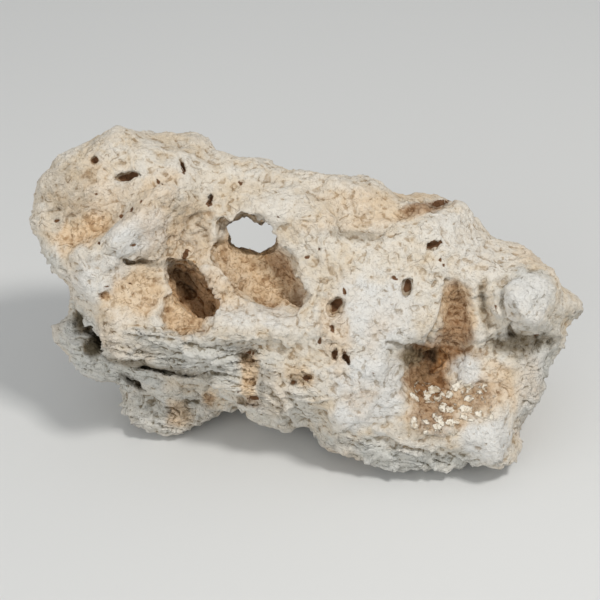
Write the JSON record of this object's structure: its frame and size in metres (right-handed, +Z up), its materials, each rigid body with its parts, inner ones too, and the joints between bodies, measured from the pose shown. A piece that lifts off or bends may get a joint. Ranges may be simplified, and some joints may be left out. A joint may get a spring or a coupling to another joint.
{
  "type": "holey rock",
  "caption": "Weathered slab of pale holey limestone, with a window through it, a blind hole, a brown hollow under a knob and bedding ledges.",
  "frame": {"origin": "on the ground, in the middle of the bounding box's footprint", "axes": "+X along the rock's length, +Y to its back, +Z up; the broad face leans back and looks towards -Y"},
  "size_m": [0.279, 0.1248, 0.1555],
  "materials": {
    "limestone": "rough, chalky, unpolished"
  },
  "bodies": {
    "root": {"rock": "limestone"}
  },
  "joints": []
}
